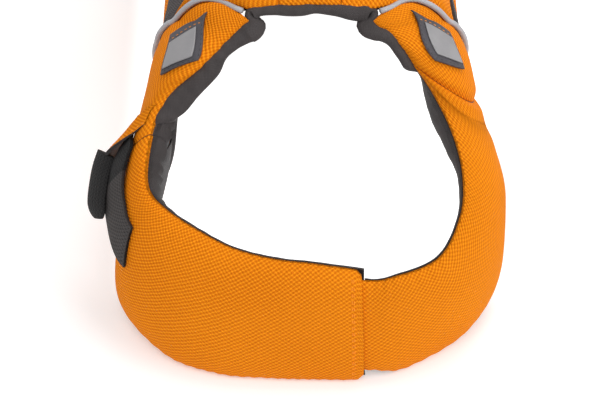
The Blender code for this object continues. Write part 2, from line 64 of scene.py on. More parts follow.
# Collar: clock, seam x y z, crest x y z, hem x y z, half of the pad's thickness
COLLAR = np.array((
    (-154, -31, 117, 164, -32, 119, 165, -33, 121, 166, 2.0),
    (-151, -35, 115, 162, -46, 126, 161, -55, 134, 157, 4.0),
    (-145, -43, 110, 156, -60, 126, 149, -73, 138, 137, 5.5),
    (-134, -56, 101, 147, -73, 112, 139, -81, 140, 119, 6.0),
    (-118, -71, 92, 137, -84, 100, 117, -81, 139, 94, 6.5),
    (-104, -82, 81, 126, -90, 90, 98, -81, 130, 73, 6.5),
    (-90, -87, 67, 112, -95, 78, 82, -83, 108, 51, 6.5),
    (-75, -87, 55, 99, -99, 62, 64, -94, 78, 26, 7.0),
    (-60, -77, 47, 91, -96, 38, 50, -103, 46, 9, 7.5),
    (-45, -61, 39, 84, -76, 23, 43, -80, 15, 2, 7.5),
    (-30, -42, 32, 77, -50, 14, 39, -51, 3, 0.5, 7.5),
    (-15, -20, 27, 74, -24, 11, 38, -24, 0, 0.5, 7.5),
    (0, 3, 25, 72, 3, 10, 37, 3, -1, 0.5, 7.5),
    (12, 27, 23, 69, 28, 10, 36, 29, -1, 0.5, 7.5),
    (30, 46, 21, 67, 52, 13, 35, 54, 7, 1, 6.5),
    (45, 69, 29, 73, 81, 26, 38, 85, 29, 4, 6.5),
    (60, 80, 45, 89, 97, 46, 51, 101, 61, 16, 6.5),
    (75, 81, 60, 104, 101, 73, 70, 89, 98, 40, 6.5),
    (90, 76, 74, 119, 95, 90, 88, 80, 120, 60, 6.5),
    (108, 65, 90, 135, 89, 92, 104, 77, 135, 78, 6.5),
    (126, 53, 102, 147, 83, 96, 121, 79, 139, 97, 6.0),
    (136, 47, 109, 153, 73, 110, 139, 81, 140, 119, 6.0),
    (145, 40, 113, 159, 60, 126, 149, 73, 138, 137, 5.5),
    (151, 34, 115, 162, 45, 126, 161, 55, 134, 157, 4.0),
    (154, 31, 117, 164, 32, 119, 165, 33, 121, 166, 2.0)), float)
# Body arch: y, half width, height of the widest point, top, lower half width, lower edge
BODY = np.array((
    (178, 80, 98, 190, 78, 48),
    (230, 79, 96, 199, 76, 44),
    (300, 82, 94, 202, 78, 42),
    (365, 83, 94, 198, 79, 46),
    (415, 78, 98, 190, 76, 58)), float)
NECK_TOP = (0.0, 124.0, 169.5)
LOW_CORNER_CLOCK = 84


def through(knots, values, at):
    """Smooth curve through the rows of values, read at the given knots."""
    at = np.atleast_1d(np.asarray(at, float))
    slopes = np.gradient(values, knots, axis=0)
    i = np.clip(np.searchsorted(knots, at, side="right") - 1, 0, len(knots) - 2)
    width = (knots[i + 1] - knots[i])[:, None]
    u = ((at - knots[i]) / (knots[i + 1] - knots[i]))[:, None]
    start = (1 + 2 * u) * (1 - u) ** 2 * values[i] + u * (1 - u) ** 2 * width * slopes[i]
    end = u ** 2 * (3 - 2 * u) * values[i + 1] + u ** 2 * (u - 1) * width * slopes[i + 1]
    return start + end


def collar_mid(clock, across):
    """Middle layer of the collar: across is 0 at the neck seam and 1 at the hem."""
    row = through(COLLAR[:, 0], COLLAR[:, 1:], clock)
    seam, crest, hem = row[:, 0:3], row[:, 3:6], row[:, 6:9]
    s = np.broadcast_to(np.asarray(across, float), (len(row),))[:, None]
    return seam * (1 - s) * (1 - 2 * s) + crest * 4 * s * (1 - s) + hem * s * (2 * s - 1)


def collar_half(clock):
    return through(COLLAR[:, 0], COLLAR[:, 10:11], clock)[:, 0]


def even_steps(points, count):
    """The polyline's points at count equal steps of its length."""
    length = np.concatenate(([0.0], np.cumsum(np.linalg.norm(np.diff(points, axis=0), axis=1))))
    steps = np.linspace(0, length[-1], count)
    return np.stack([np.interp(steps, length, points[:, k]) for k in range(3)], axis=1)


def front_half(side):
    """The arch's front edge from the withers, along the piping, to its lower corner."""
    piping = collar_mid(side * np.linspace(154, LOW_CORNER_CLOCK, 60), 1.0)
    return np.vstack((np.array([NECK_TOP, (side * 16.0, 123.0, 168.5)]), piping))


def section_half(row, side):
    """One arch section from its top to its lower edge on one side."""
    y, half_width, wide_z, top_z, low_half_width, low_z = row
    turn = np.linspace(0, math.pi / 2, 30)
    upper = np.stack((side * half_width * np.sin(turn), np.full(30, y),
                      wide_z + (top_z - wide_z) * np.cos(turn)), axis=1)
    drop = np.linspace(0, 1, 12)[1:]
    lower = np.stack((side * (half_width + (low_half_width - half_width) * drop ** 2), np.full(11, y),
                      wide_z + (low_z - wide_z) * drop), axis=1)
    return np.vstack((upper, lower))


def body_sections(count=161):
    """Rows of points over the arch, from its front edge along the piping to its rear."""
    halves = count // 2 + 1
    rows = []
    for row in [None] + list(BODY):
        sides = []
        for side in (-1, 1):
            line = front_half(side) if row is None else section_half(row, side)
            sides.append(even_steps(line, halves))
        rows.append(np.vstack((sides[0][::-1], sides[1][1:])))
    return np.array(rows)


SECTIONS = body_sections()
STATIONS = np.concatenate(([130.0], BODY[:, 0]))
FRONT, REAR = 131.2, 415.0
REACH = np.array((0.0, -1.9, -1.6))      # how the back's front edge laps over the neck at the withers
REACH_RUN, REACH_SPREAD = 5.0, 0.12


def body_mid(station, across):
    """Middle layer of the arch: across is -1 and 1 at its lower edges, 0 on top."""
    station = np.atleast_1d(np.asarray(station, float))
    across = np.broadcast_to(np.asarray(across, float), station.shape)
    count = SECTIONS.shape[1]
    rows = through(STATIONS, SECTIONS.reshape(len(STATIONS), -1), station).reshape(-1, count, 3)
    spot = (across + 1) / 2 * (count - 1)
    i = np.clip(spot.astype(int), 0, count - 2)
    part = (spot - i)[:, None]
    pick = np.arange(len(station))
    lap = np.exp(-((station - FRONT) / REACH_RUN) ** 2 - (across / REACH_SPREAD) ** 2)
    return rows[pick, i] * (1 - part) + rows[pick, i + 1] * part + lap[:, None] * REACH


COLLAR_SURFACE = {"mid": collar_mid, "step": (0.5, 0.004)}
BODY_SURFACE = {"mid": body_mid, "step": (1.0, 0.02)}


def place(surface, station, across, lift):
    """Points of a surface, moved out along its normal by lift."""
    mid = surface["mid"]
    ds, da = surface["step"]
    station = np.atleast_1d(np.asarray(station, float))
    across = np.broadcast_to(np.asarray(across, float), station.shape)
    along = mid(station + ds, across) - mid(station - ds, across)
    over = mid(station, across + da) - mid(station, across - da)
    normal = -np.cross(along, over)
    normal /= np.maximum(np.linalg.norm(normal, axis=1, keepdims=True), 1e-9)
    return mid(station, across) + normal * np.broadcast_to(lift, station.shape)[:, None]


def direction(vector):
    return vector / np.maximum(np.linalg.norm(vector, axis=-1, keepdims=True), 1e-9)


def smooth(u):
    u = np.clip(u, 0.0, 1.0)
    return u * u * (3 - 2 * u)


# ---------------------------------------------------------------- materials

def new_material(name, colour, roughness, specular=0.3, sheen=0.0):
    made = bpy.data.materials.new(name)
    made.use_nodes = True
    shader = made.node_tree.nodes["Principled BSDF"]
    shader.inputs["Base Color"].default_value = (*colour, 1.0)
    shader.inputs["Roughness"].default_value = roughness
    shader.inputs["Specular IOR Level"].default_value = specular
    shader.inputs["Sheen Weight"].default_value = sheen
    return made, made.node_tree, shader


def maths(tree, operation, first, second=None):
    node = tree.nodes.new("ShaderNodeMath")
    node.operation = operation
    for socket, given in zip(node.inputs, (first, second)):
        if given is None:
            continue
        if isinstance(given, (int, float)):
            socket.default_value = given
        else:
            tree.links.new(given, socket)
    return node.outputs[0]


def cloth_uv(tree):
    """The two cloth coordinates, in metres along and across the piece."""
    uv = tree.nodes.new("ShaderNodeUVMap")
    uv.uv_map = "cloth"
    split = tree.nodes.new("ShaderNodeSeparateXYZ")
    tree.links.new(uv.outputs[0], split.inputs[0])
    return split.outputs[0], split.outputs[1]


def noise(tree, scale, detail=2.0):
    place_node = tree.nodes.new("ShaderNodeTexCoord")
    texture = tree.nodes.new("ShaderNodeTexNoise")
    texture.inputs["Scale"].default_value = scale
    texture.inputs["Detail"].default_value = detail
    tree.links.new(place_node.outputs["Object"], texture.inputs["Vector"])
    return texture.outputs["Fac"]


def wave(tree, coordinate, pitch, phase=0.0):
    """A sine of the coordinate with the given pitch in metres, from -1 to 1."""
    turned = maths(tree, "MULTIPLY", coordinate, 2 * math.pi / pitch)
    return maths(tree, "SINE", maths(tree, "ADD", turned, phase))


def bump(tree, shader, height, distance, strength=1.0):
    node = tree.nodes.new("ShaderNodeBump")
    node.inputs["Distance"].default_value = distance
    node.inputs["Strength"].default_value = strength
    tree.links.new(height, node.inputs["Height"])
    tree.links.new(node.outputs[0], shader.inputs["Normal"])


def mix_colour(tree, shader, factor, low, high):
    node = tree.nodes.new("ShaderNodeMix")
    node.data_type = "RGBA"
    tree.links.new(factor, node.inputs["Factor"])
    node.inputs["A"].default_value = (*low, 1.0)
    node.inputs["B"].default_value = (*high, 1.0)
    tree.links.new(node.outputs["Result"], shader.inputs["Base Color"])


WEAVE_ALONG, WEAVE_OVER = 0.0031, 0.0025     # repeats of the outer cloth's basket weave


def orange_cloth():
    """Coarse woven polyester: slanting rows of raised threads, darker gaps, slightly uneven colour."""
    made, tree, shader = new_material("orange_weave", (0.8, 0.2, 0.006), 0.75, 0.05)
    u, v = cloth_uv(tree)
    u = maths(tree, "MULTIPLY", u, 2 * math.pi / WEAVE_ALONG)
    v = maths(tree, "MULTIPLY", v, 2 * math.pi / WEAVE_OVER)
    rows = maths(tree, "MULTIPLY", maths(tree, "COSINE", maths(tree, "ADD", u, v)), -0.30)
    dots = maths(tree, "MULTIPLY", maths(tree, "COSINE", maths(tree, "SUBTRACT", u, v)), 0.20)
    height = maths(tree, "ADD", maths(tree, "ADD", rows, dots), 0.5)
    worn = maths(tree, "MULTIPLY", noise(tree, 18.0), 0.3)
    tone = maths(tree, "ADD", maths(tree, "MULTIPLY", maths(tree, "POWER", height, 1.4), 0.95), worn)
    mix_colour(tree, shader, tone, (0.62, 0.125, 0.0014), (1.0, 0.325, 0.010))
    bump(tree, shader, height, 0.0006, 0.9)
    return made


def lining_cloth():
    """Plain dark lining with a fine weave and soft wrinkles."""
    made, tree, shader = new_material("dark_lining_cloth", (0.05, 0.042, 0.042), 0.6, 0.3, 0.04)
    u, v = cloth_uv(tree)
    fine = maths(tree, "MULTIPLY", wave(tree, u, 0.0011), wave(tree, v, 0.0011))
    folds = noise(tree, 60.0, 3.0)
    height = maths(tree, "ADD", maths(tree, "MULTIPLY", fine, 0.06), folds)
    # painted shade: the colour follows the folds, darker in their hollows and lighter on their crests
    mix_colour(tree, shader, folds, (0.030, 0.025, 0.025), (0.078, 0.066, 0.066))
    bump(tree, shader, height, 0.0024, 0.75)
    return made


def webbing_nodes(name, low, high):
    """Webbing: ribs along it, crossed by slanted threads."""
    made, tree, shader = new_material(name, high, 0.7, 0.25)
    u, v = cloth_uv(tree)
    zigzag = maths(tree, "MULTIPLY", maths(tree, "ABSOLUTE", wave(tree, v, 0.0048)), 0.0012)
    slant = maths(tree, "ADD", u, zigzag)
    ribs = wave(tree, v, 0.0024)
    threads = wave(tree, slant, 0.0021)
    height = maths(tree, "ADD", maths(tree, "MULTIPLY", maths(tree, "MULTIPLY", ribs, threads), 0.35),
                   maths(tree, "ADD", maths(tree, "MULTIPLY", ribs, 0.15), 0.5))
    mix_colour(tree, shader, height, low, high)
    bump(tree, shader, height, 0.0006, 0.9)
    return made


def webbing_cloth():
    return webbing_nodes("grey_webbing_cloth", (0.012, 0.010, 0.010), (0.10, 0.088, 0.085))


# painted shade: the grey webbing drawn near black, for where it lies in the flap's shadow
def painted_shade_webbing_cloth():
    return webbing_nodes("painted_shade_webbing_cloth", (0.003, 0.003, 0.003), (0.030, 0.028, 0.028))


def stretch_cloth():
    made, tree, shader = new_material("grey_stretch_cloth", (0.08, 0.07, 0.07), 0.85, 0.2)
    u, v = cloth_uv(tree)
    knit = maths(tree, "MULTIPLY", wave(tree, u, 0.0014), wave(tree, v, 0.0018))
    height = maths(tree, "ADD", maths(tree, "MULTIPLY", knit, 0.5), 0.5)
    mix_colour(tree, shader, height, (0.045, 0.04, 0.04), (0.13, 0.115, 0.115))
    bump(tree, shader, height, 0.0004, 0.8)
    return made


def reflective_tape():
    made, tree, shader = new_material("grey_reflective", (0.44, 0.44, 0.46), 0.4, 0.5, 0.1)
    u, v = cloth_uv(tree)
    beads = maths(tree, "MULTIPLY", wave(tree, u, 0.0009), wave(tree, v, 0.0009))
    height = maths(tree, "ADD", maths(tree, "MULTIPLY", beads, 0.5), 0.5)
    mix_colour(tree, shader, height, (0.33, 0.33, 0.35), (0.50, 0.50, 0.53))
    bump(tree, shader, height, 0.0002, 0.6)
    return made


def label_cloth():
    made, tree, shader = new_material("grey_label", (0.085, 0.08, 0.088), 0.5, 0.3)
    u, v = cloth_uv(tree)
    fine = maths(tree, "MULTIPLY", wave(tree, u, 0.0008), wave(tree, v, 0.0008))
    tone = maths(tree, "ADD", maths(tree, "MULTIPLY", fine, 0.2), noise(tree, 90.0))
    mix_colour(tree, shader, tone, (0.055, 0.052, 0.06), (0.12, 0.112, 0.125))
    bump(tree, shader, fine, 0.0002, 0.6)
    return made


def patch_cloth():
    made, tree, shader = new_material("light_patch", (0.3, 0.29, 0.3), 0.4, 0.5)
    tone = noise(tree, 70.0, 3.0)
    mix_colour(tree, shader, tone, (0.22, 0.215, 0.225), (0.36, 0.35, 0.355))
    bump(tree, shader, noise(tree, 900.0), 0.0002, 0.5)
    return made


def buckle_plastic():
    made, tree, shader = new_material("black_nylon", (0.022, 0.022, 0.024), 0.42, 0.5)
    bump(tree, shader, noise(tree, 1600.0), 0.00015, 0.5)
    return made


def thread_material(name, colour):
    made, tree, shader = new_material(name, colour, 0.6)
    bump(tree, shader, noise(tree, 2500.0), 0.0001, 0.5)
    return made


ORANGE = orange_cloth()
LINING = lining_cloth()
WEBBING = webbing_cloth()
PAINTED_SHADE_WEBBING = painted_shade_webbing_cloth()
STRETCH = stretch_cloth()
REFLECTIVE = reflective_tape()
LABEL = label_cloth()
PATCH = patch_cloth()
BUCKLE = buckle_plastic()
ORANGE_THREAD = thread_material("orange_thread", (0.95, 0.3, 0.012))
DARK_THREAD = thread_material("dark_thread", (0.05, 0.047, 0.05))


# ---------------------------------------------------------------- pieces

def add_piece(name, points, faces, uvs, look, nodes=()):
    """A mesh piece from points in millimetres, with its cloth coordinates, riding on the jacket."""
    mesh = bpy.data.meshes.new(name)
    world = (np.asarray(points, float) - (0.0, ORIGIN_Y, 0.0)) * MM
    mesh.from_pydata([tuple(p) for p in world], [], faces)
    layer = mesh.uv_layers.new(name="cloth")
    order = np.zeros(len(mesh.loops), np.int32)
    mesh.loops.foreach_get("vertex_index", order)
    layer.data.foreach_set("uv", np.ascontiguousarray(uvs[order] * MM, dtype=np.float32).ravel())
    mesh.materials.append(look)
    mesh.shade_smooth()
    mesh.update()
    item = bpy.data.objects.new(name, mesh)
    bpy.context.scene.collection.objects.link(item)
    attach(item, "root")
    if nodes:
        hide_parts(*nodes)
    return item


def closed_skin(name, loops, look, nodes=(), back=None):
    """A closed piece through loops of points, its cloth coordinates measured along and round it.

    back is (material, number of outer points): what the faces past those points are made of.
    """
    loops = np.asarray(loops)
    rows, count = loops.shape[:2]
    steps = np.linalg.norm(np.diff(loops, axis=0), axis=2).mean(axis=1)
    along = np.concatenate(([0.0], np.cumsum(steps)))
    round_steps = np.linalg.norm(np.diff(loops, axis=1), axis=2)
    around = np.concatenate((np.zeros((rows, 1)), np.cumsum(round_steps, axis=1)), axis=1)
    uvs = np.stack((np.repeat(along[:, None], count, axis=1), around), axis=2).reshape(-1, 2)
    faces = []
    for k in range(rows - 1):
        for i in range(count):
            j = (i + 1) % count
            faces.append((k * count + i, (k + 1) * count + i, (k + 1) * count + j, k * count + j))
    half = count // 2
    for start, turned in ((0, False), ((rows - 1) * count, True)):
        for i in range(half - 1):
            corners = [start + i, start + i + 1, start + count - 2 - i, start + count - 1 - i]
            corners = list(dict.fromkeys(corners))
            faces.append(tuple(corners[::-1]) if turned else tuple(corners))
    item = add_piece(name, loops.reshape(-1, 3), faces, uvs, look, nodes)
    if back:
        item.data.materials.append(back[0])
        sides = (rows - 1) * count
        for polygon in item.data.polygons:
            inner = polygon.index % count in range(back[1], count - 1)
            polygon.material_index = int(inner or polygon.index >= sides)
    return item


def fullness(across):
    """How full a pad is at each place across it, from 0 to 1: full in the middle, thin at its edges."""
    return np.sqrt(np.clip(1 - np.abs(2 * across - 1) ** 4, 0.012, 1))


def profile(count):
    """Places across a pad, closer at its edges, and how full the pad is at each."""
    part = (1 - np.cos(np.linspace(0, math.pi, count))) / 2
    return part, fullness(part)


def value(thing, at):
    """The thing itself, or what it gives at that station where it is a function."""
    return thing(at) if callable(thing) else thing


def pad(name, surface, stations, low, high, half, look, nodes, ends=(0.45, 0.45), end_run=7.0,
        pucker=0.35, quilts=()):
    """Padded panel between two edges. quilts are places across it, from 0 to 1, sewn down along it."""
    stations = np.asarray(stations, float)
    mids = surface["mid"](stations, np.array([(value(low, s) + value(high, s)) / 2 for s in stations]))
    run = np.concatenate(([0.0], np.cumsum(np.linalg.norm(np.diff(mids, axis=0), axis=1))))
    part, full = profile(61)
    inner_part, inner_full = profile(31)
    quilted = np.ones_like(part)
    for spot in quilts:
        quilted *= 1 - 0.3 * np.exp(-((part - spot) / 0.02) ** 2)
    loops = []
    for station, at in zip(stations, run):
        near = min(at, run[-1] - at)
        end = ends[0] if at < run[-1] / 2 else ends[1]
        thick = float(value(half, station)) * (end + (1 - end) * math.sqrt(smooth(near / end_run)))
        start, stop = value(low, station), value(high, station)
        edge = np.exp(-part / 0.07) + np.exp(-(1 - part) / 0.07)
        gather = pucker * edge * np.sin(at * 2 * math.pi / 7.3 + 1.7 * np.sin(at / 11.0)) * min(1, near / 6)
        width = stop - start
        outer = place(surface, np.full(61, station), start + width * part, thick * full * quilted + gather)
        inside = place(surface, np.full(31, station), start + width * inner_part, -thick * inner_full)
        loops.append(np.vstack((outer, inside[::-1])))
    item = closed_skin(name, loops, look, nodes, (LINING, 61))
    return item


def band(surface, rows, thick):
    """Closed loops of a thin sheet through rows of (stations, across, lifts at its lower side)."""
    loops = []
    for stations, across, lifts in rows:
        lifts = np.asarray(lifts, float)
        upper = place(surface, stations, across, lifts + thick)
        lower = place(surface, stations, across, lifts)
        loops.append(np.vstack((upper, lower[::-1])))
    return loops


def smooth_path(points, count):
    """A smooth path of count points through a few given ones."""
    points = np.asarray(points, float)
    length = np.concatenate(([0.0], np.cumsum(np.linalg.norm(np.diff(points, axis=0), axis=1))))
    return through(length, points, np.linspace(0, length[-1], count))


def sweep_loops(path, out, section):
    """Loops of a section, in steps sideways and outwards, that follows a path."""
    path = np.asarray(path, float)
    along = direction(np.gradient(path, axis=0))
    side = direction(np.cross(along, np.broadcast_to(out, path.shape)))
    up = np.cross(side, along)
    section = np.asarray(section, float)
    return [p + section[:, :1] * s + section[:, 1:] * u for p, s, u in zip(path, side, up)]


def oval_section(half_width, half_height, sides):
    turn = np.arange(sides) * 2 * math.pi / sides
    return np.stack((half_width * np.cos(turn), half_height * np.sin(turn)), axis=1)


def web_section(width, thick):
    """Webbing's section with rounded edges."""
    half, edge = width / 2, thick / 2
    x = np.linspace(-half + edge, half - edge, 9)
    lower = np.stack((x, np.full(9, -edge)), axis=1)
    upper = np.stack((x[::-1], np.full(9, edge)), axis=1)
    return np.vstack(([(-half, 0.0)], lower, [(half, 0.0)], upper))


def stitches(name, line, out, look, length=2.6, gap=1.4, radius=0.32, sink=0.1):
    """A row of stitches along a line of points; out is the cloth's outward direction at each."""
    line, out = np.asarray(line, float), np.broadcast_to(out, np.shape(line))
    run = np.concatenate(([0.0], np.cumsum(np.linalg.norm(np.diff(line, axis=0), axis=1))))
    count = max(int(run[-1] / (length + gap)), 1)
    shape = ((-0.5, 0.25), (-0.3, 0.9), (0.0, 1.0), (0.3, 0.9), (0.5, 0.25))
    sides = 6
    points, faces, uvs = [], [], []
    for k in range(count):
        centre = (k + 0.5) * run[-1] / count
        spots = [centre + s * length for s, _ in shape]
        middle = np.stack([np.interp(spots, run, line[:, c]) for c in range(3)], axis=1)
        up = direction(np.stack([np.interp(spots, run, out[:, c]) for c in range(3)], axis=1))
        along = direction(np.gradient(middle, axis=0))
        side = np.cross(along, up)
        base = len(points)
        for j, (_, full) in enumerate(shape):
            for i in range(sides):
                turn = 2 * math.pi * i / sides
                dip = -sink - (1 - full) * radius
                points.append(middle[j] + radius * full * (math.cos(turn) * side[j] + math.sin(turn) * up[j])
                              + up[j] * dip)
                uvs.append((spots[j], i * radius))
        for j in range(len(shape) - 1):
            for i in range(sides):
                n = (i + 1) % sides
                a, b = base + j * sides, base + (j + 1) * sides
                faces.append((a + i, a + n, b + n, b + i))
        faces.append(tuple(base + i for i in range(sides))[::-1])
        faces.append(tuple(base + (len(shape) - 1) * sides + i for i in range(sides)))
    return add_piece(name, points, faces, np.array(uvs), look)


def pad_face(clock, across):
    """How far the collar pad's outer face stands over its middle layer."""
    return collar_half(clock) * fullness(np.asarray(across, float))


def line_on(surface, stations, across, lift):
    """A line on a surface with the outward direction at each of its points."""
    stations = np.asarray(stations, float)
    across = np.broadcast_to(np.asarray(across, float), stations.shape)
    lift = np.broadcast_to(np.asarray(lift, float), stations.shape)
    line = place(surface, stations, across, lift)
    return line, direction(place(surface, stations, across, lift + 1.0) - line)


# ---------------------------------------------------------------- collar

MOUTH, SLEEVE_END, TUBE_END = 12.0, -98.0, -22.0     # clocks
CREASE, APEX = 126.0, 153.0
TUBE_INSET, TUBE_HALF = 0.085, 5.6
SLEEVE_WALL = 1.4
CORNER = 0.045           # rounding of the sleeve's two corners at its mouth
HEM_SHARE = 0.974        # where the shoulder pads' hem meets the piping


def tube_inset(clock):
    return TUBE_INSET * (1 - smooth((clock - MOUTH) / 20.0))


def tube_half(clock):
    return TUBE_HALF + (float(collar_half(clock)[0]) - TUBE_HALF) * smooth((clock - MOUTH) / 25.0)


def sleeve_half(clock):
    return float(collar_half(clock)[0])


def make_sleeve():
    """Left half of the chest band, hollow at its mouth where the tube goes in."""
    clocks = np.linspace(SLEEVE_END + 0.12, MOUTH, 150)
    part, full = profile(61)
    inner_part, inner_full = profile(31)
    loops = []
    for clock in clocks:
        seam = 0.8 + 0.2 * math.sqrt(smooth((clock - SLEEVE_END) / 4.0))
        edge = np.exp(-part / 0.05) + np.exp(-(1 - part) / 0.06)
        gather = 0.35 * edge * math.sin(clock * 1.9 + 1.5 * math.sin(clock / 6.0))
        fade = smooth((MOUTH - clock) / 6.0)
        hem = 0.35 * math.exp(-((MOUTH - clock - 2.6) / 0.35) ** 2)
        half = sleeve_half(clock) * seam
        corner = CORNER * smooth((clock - MOUTH + 2.2) / 2.2) ** 2
        outer = place(COLLAR_SURFACE, np.full(61, clock), corner + (1 - 2 * corner) * part,
                      half * full + gather * fade - hem)
        inside = place(COLLAR_SURFACE, np.full(31, clock), corner + (1 - 2 * corner) * inner_part,
                       -half * inner_full)
        loops.append(np.vstack((outer, inside[::-1])))
    for clock in clocks[:-40:-1]:
        half = sleeve_half(clock) - SLEEVE_WALL
        edge = CORNER + 0.02
        outer = place(COLLAR_SURFACE, np.full(61, clock), edge + (1 - 2 * edge) * part, half * full)
        inside = place(COLLAR_SURFACE, np.full(31, clock), edge + (1 - 2 * edge) * inner_part,
                       -half * inner_full)
        loops.append(np.vstack((outer, inside[::-1])))
    closed_skin("chest_sleeve_cloth", loops, ORANGE, ["chest_sleeve"])
    shares = np.linspace(0.04, 0.96, 60)
    for k, back in enumerate((2.4, 2.9)):
        clocks = np.full(60, MOUTH - back)
        line, out = line_on(COLLAR_SURFACE, clocks, shares, pad_face(clocks, shares) + 0.05)
        stitches("sleeve_hem_stitch_%d" % k, line, out, ORANGE_THREAD)


def make_tube():
    """Right half of the chest band, which goes into the sleeve and grows to full size outside it."""
    clocks = np.concatenate((np.linspace(TUBE_END, MOUTH - 1, 30), np.linspace(MOUTH, CREASE - 0.12, 150)))
    pad("neck_tube_cloth", COLLAR_SURFACE, clocks, tube_inset, lambda c: 1 - tube_inset(c), tube_half,
        ORANGE, ["neck_tube"], ends=(0.5, 0.5))


def make_shoulders():
    pad("shoulder_left_cloth", COLLAR_SURFACE, -np.linspace(APEX, -SLEEVE_END + 0.12, 90), 0.0, HEM_SHARE,
        sleeve_half, ORANGE, ["shoulder_left"], ends=(0.6, 0.8))
    pad("shoulder_right_cloth", COLLAR_SURFACE, np.linspace(CREASE + 0.12, APEX, 60), 0.0, HEM_SHARE,
        sleeve_half, ORANGE, ["shoulder_right"], ends=(0.5, 0.6))


# How far the lining swells into the neck beside the seam: clock, swell
SWELL = np.array(((-150, 1.5), (-120, 3.0), (-98, 5.5), (-76, 6.0), (-66, 4.2), (-55, 3.0),
                  (-30, 2.2), (0, 1.5), (12, 1.2), (16, -0.2), (60, 0.2), (74, 2.2), (86, 6.5),
                  (100, 9.0), (122, 9.5), (150, 2.0)), float)
LINING_GAP, LINING_THICK = 0.6, 0.9
LINING_HIGH = 0.97       # how near the lining comes to the hem


def lining(name, clocks, low, high, half, node):
    """Lining on the collar's inner side: it swells beside the neck seam and lies in slanting wrinkles."""
    rows = []
    part, full = profile(49)
    for clock in clocks:
        start, stop = value(low, clock), value(high, clock)
        across = start + (stop - start) * part
        slant = clock * 0.5 + part * 9.0
        wrinkle = np.sin(slant + 0.8 * math.sin(clock * 0.31)) + 0.6 * np.sin(slant * 2.3 + 1.0)
        wrinkle = 0.27 * (wrinkle + 0.5 * np.sin(clock * 1.1 - part * 5)) * np.sin(math.pi * part) ** 0.4
        scallop = 0.16 * math.sin(clock * 0.85 + math.sin(clock * 0.3)) * (1 - smooth((clock - 2) / 10))
        swell = float(np.interp(clock, SWELL[:, 0], SWELL[:, 1])) * (1 + scallop)
        puff = swell * np.exp(-((part - 0.07) / 0.16) ** 2) * (1 - np.exp(-part / 0.012) * 0.6)
        inside = value(half, clock) * full + LINING_GAP
        folded = LINING_THICK + puff - np.minimum(wrinkle, 0.8) * 0.8
        lower = place(COLLAR_SURFACE, np.full(49, clock), across, -inside - folded)
        upper = place(COLLAR_SURFACE, np.full(49, clock), across, -inside)
        rows.append(np.vstack((upper, lower[::-1])))
    item = closed_skin(name, rows, LINING, [node])


def make_linings():
    lining("lining_sleeve_cloth", np.linspace(SLEEVE_END + 0.12, MOUTH + 0.8, 150), 0.0, 0.99,
           sleeve_half, "lining_sleeve")
    lining("lining_tube_cloth", np.linspace(MOUTH + 1, CREASE - 0.5, 130), tube_inset,
           lambda c: LINING_HIGH - tube_inset(c), tube_half, "lining_tube")
    lining("lining_shoulder_left_cloth", np.linspace(-150, SLEEVE_END - 0.12, 70), 0.01, 0.95, sleeve_half,
           "lining_shoulder_left")
    lining("lining_shoulder_right_cloth", np.linspace(CREASE + 1, 150, 50), 0.01, 0.95, sleeve_half,
           "lining_shoulder_right")


PIPING_RADIUS, PIPING_LOW, PIPING_LIFT, PIPING_TOP = 1.5, 2.2, 4.8, 153.7
PIPING_ENDS = {-1: 108.0, 1: 127.5}
NECK_MIDDLE = np.array((0.0, 80.0, 125.0))


def make_piping():
    for side, word in ((-1, "left"), (1, "right")):
        clocks = side * np.linspace(PIPING_TOP, PIPING_ENDS[side], 90)
        lift = PIPING_LOW + (PIPING_LIFT - PIPING_LOW) * smooth((PIPING_TOP - np.abs(clocks)) / 4.0)
        path = place(COLLAR_SURFACE, clocks, 0.995, lift)
        out = direction(place(COLLAR_SURFACE, clocks, 0.98, 1.0) - place(COLLAR_SURFACE, clocks, 0.98, 0.0))
        loops = sweep_loops(path, out, oval_section(PIPING_RADIUS, PIPING_RADIUS, 12))
        closed_skin("piping_%s_tape" % word, loops, REFLECTIVE, ["piping_" + word])


# Roll of lining round the neck: share of its length, width that shows
ROLL = np.array(((0.0, 8.0), (0.06, 11.0), (0.16, 11.5), (0.23, 9.5), (0.29, 6.5), (0.345, 9.0),
                 (0.385, 11.0), (0.43, 8.0), (0.47, 5.5), (0.555, 6.6), (0.64, 5.5), (0.69, 7.5),
                 (0.75, 9.5), (0.80, 10.5), (0.87, 6.5), (0.93, 6.0), (1.0, 6.5)), float)
ROLL_THICK, ROLL_TUCK, ROLL_SINK = 2.6, 1.0, 0.6
ROLL_STEPS = 300


